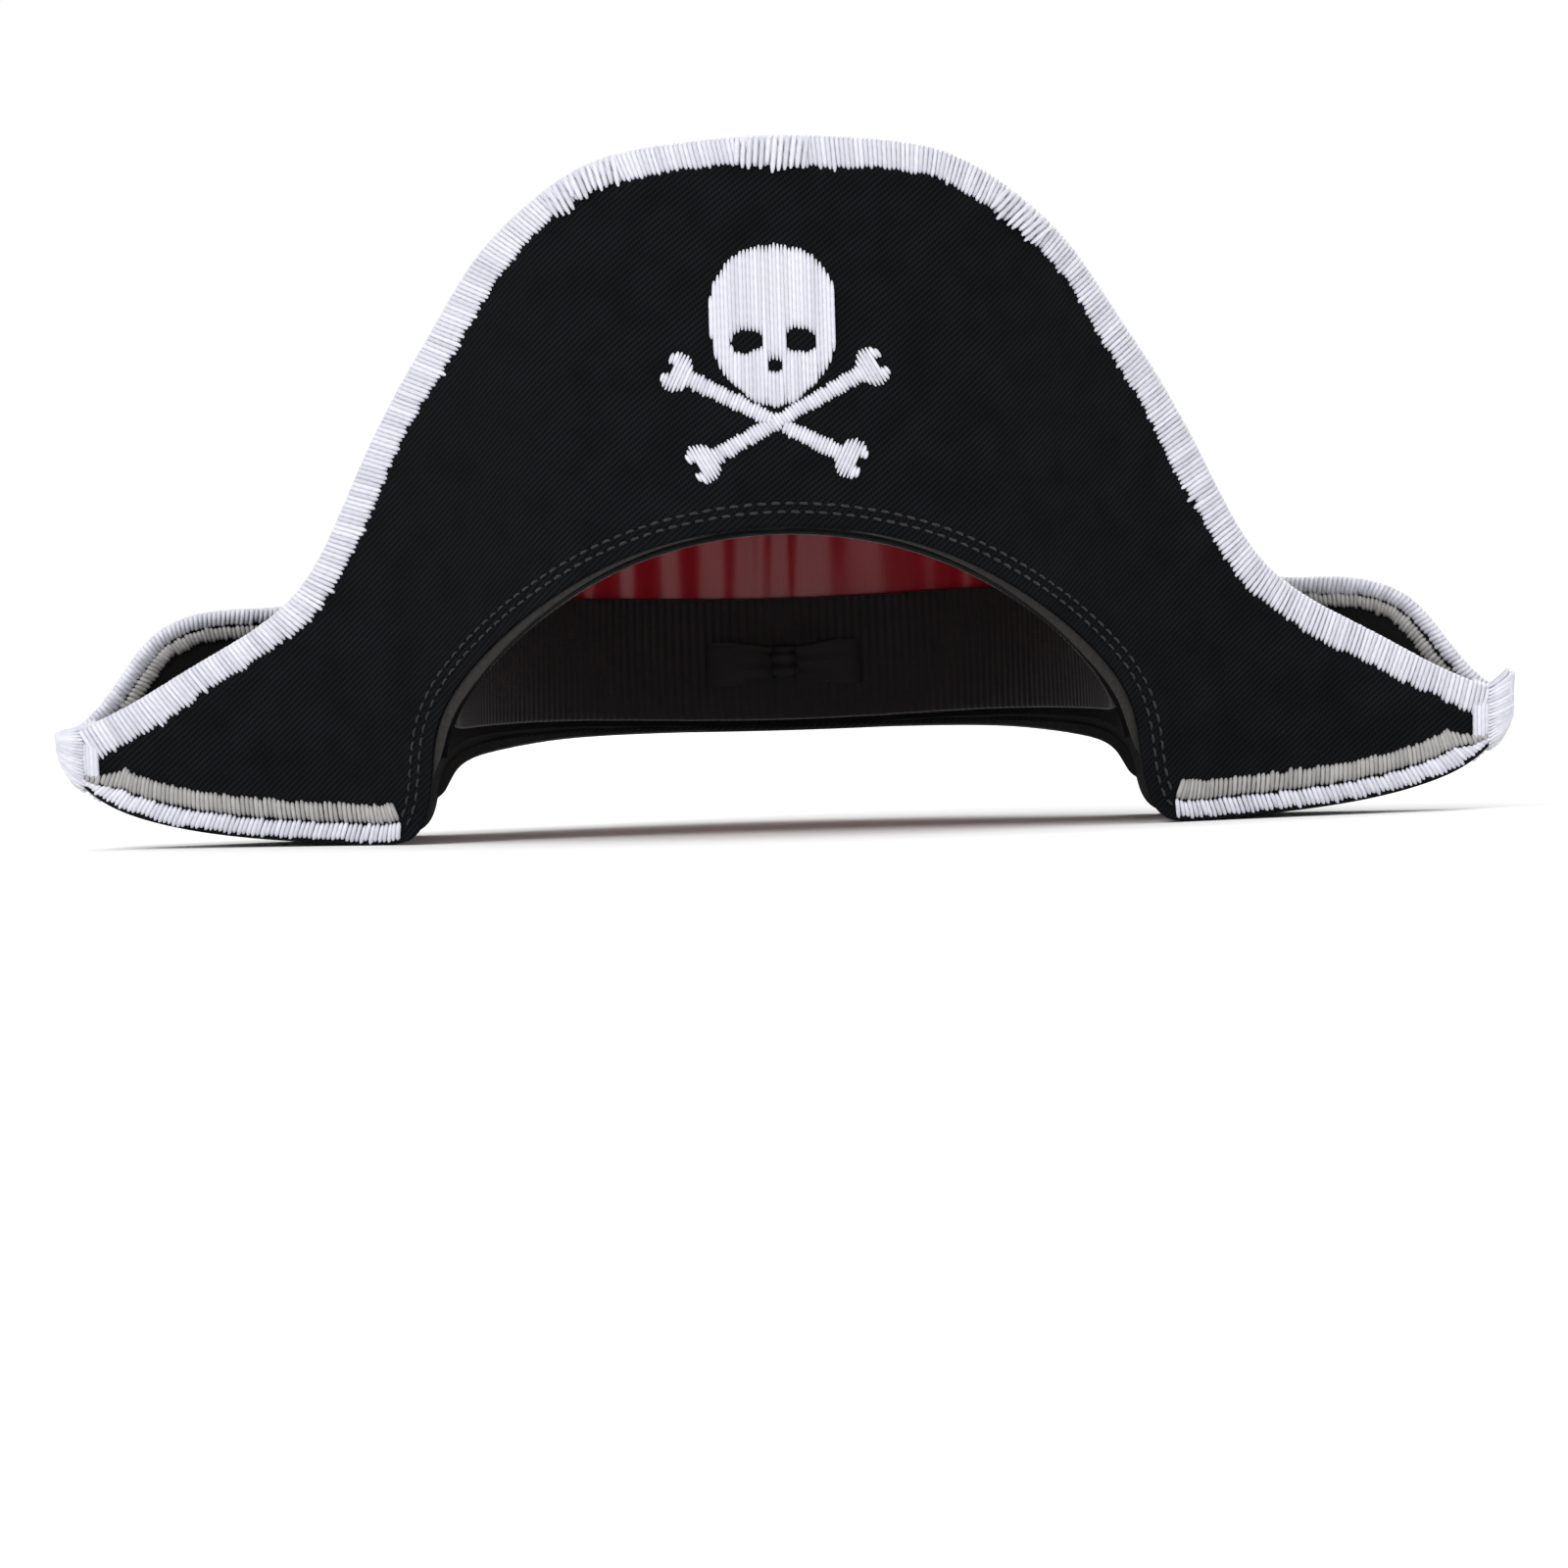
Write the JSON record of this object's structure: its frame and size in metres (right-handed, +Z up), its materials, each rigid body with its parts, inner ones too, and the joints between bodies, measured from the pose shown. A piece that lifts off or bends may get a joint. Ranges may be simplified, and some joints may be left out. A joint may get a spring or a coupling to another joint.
{
  "type": "pirate hat",
  "caption": "Cocked costume hat with a tall bell-shaped front panel, pointed side tips, lower back panel, felt crown, satin-stitched edges and a skull-and-crossbones badge.",
  "frame": {"origin": "centre of the head opening, at the level of the brim's lowest edge", "axes": "+Z up, the front of the hat faces -Y, the two brim tips lie on X"},
  "size_m": [0.381, 0.2255, 0.1813],
  "materials": {
    "black_twill": "matt cotton twill",
    "buckram": "stiff open-weave buckram",
    "edge_wire": "plain drawn wire",
    "black_felt": "pressed wool felt",
    "red_satin": "satin with a soft sheen",
    "grosgrain": "ribbed ribbon",
    "white_thread": "lustrous embroidery yarn",
    "grey_thread": "lustrous embroidery yarn"
  },
  "bodies": {
    "root": {"front_panel_face": "black_twill", "front_panel_stiffener": "buckram", "front_panel_backing": "black_felt", "front_edge_wire": "edge_wire", "front_edge_border": "white_thread", "front_lower_row_left": "white_thread", "front_lower_row_right": "white_thread", "front_lower_grey_row_left": "grey_thread", "front_lower_grey_row_right": "grey_thread", "back_panel_face": "black_twill", "back_panel_stiffener": "buckram", "back_panel_backing": "black_felt", "back_edge_wire": "edge_wire", "back_edge_border": "white_thread", "back_edge_grey_row": "grey_thread", "back_lower_row_left": "white_thread", "back_lower_row_right": "white_thread", "tip_wrap_left": "white_thread", "tip_wrap_right": "white_thread", "underside_front": "black_felt", "underside_back": "black_felt", "crown_side_left": "black_felt", "crown_side_right": "black_felt", "crown_tip": "black_felt", "crown_piping": "black_twill", "lining_side_left": "red_satin", "lining_side_right": "red_satin", "lining_tip": "red_satin", "sweatband": "grosgrain", "sweatband_bow": "grosgrain", "badge_skull": "white_thread", "badge_bone_upper": "white_thread", "badge_bone_lower": "white_thread"}
  },
  "joints": []
}
